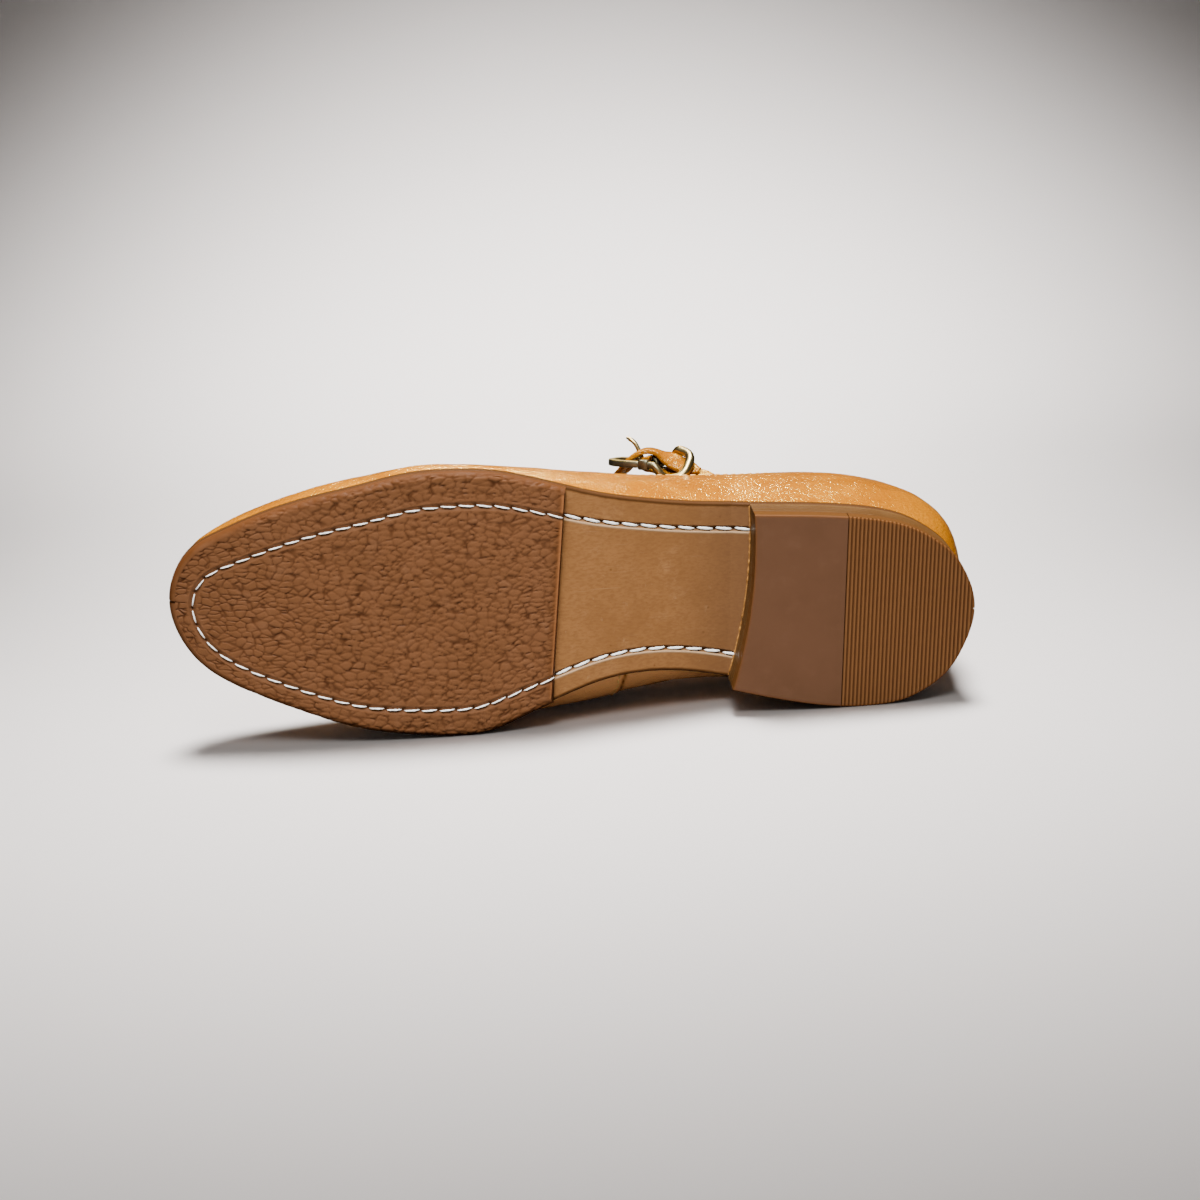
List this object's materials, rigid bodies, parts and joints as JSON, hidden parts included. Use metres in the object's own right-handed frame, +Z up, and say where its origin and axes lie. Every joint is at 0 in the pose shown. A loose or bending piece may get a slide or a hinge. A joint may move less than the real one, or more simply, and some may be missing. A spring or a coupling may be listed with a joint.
{
  "type": "mary jane flat shoe",
  "caption": "Left mary jane flat lying on its inner side: hollow leather upper, buckled instep strap, leather outsole with rubber half sole, low stacked heel with rubber tip.",
  "frame": {"origin": "on the floor, under the middle of the box round the shoe as it lies on its inner side", "axes": "+X runs from the toe to the heel, -Y is the way the tread faces, +Z is up from the floor"},
  "size_m": [0.2732, 0.0808, 0.0925],
  "materials": {
    "upper_leather": "golden tan, crinkled, glossy",
    "insole_leather": "natural, smooth, matt",
    "sole_leather": "tan, smooth, lightly stained",
    "heel_leather": "brown stacked layers, burnished",
    "crepe_rubber": "brown, pebbled",
    "tip_rubber": "brown, smooth and ribbed",
    "antique_brass": "darkened, worn bright at the edges"
  },
  "bodies": {
    "root": {"upper": "upper_leather", "insole": "insole_leather", "outsole": "sole_leather", "half_sole": "crepe_rubber", "heel_lift_upper": "heel_leather", "heel_lift_lower": "heel_leather", "heel_tip_front": "tip_rubber", "heel_tip_rear": "tip_rubber", "strap": "upper_leather", "chape": "upper_leather", "buckle_frame": "antique_brass", "buckle_prong": "antique_brass"}
  },
  "joints": []
}
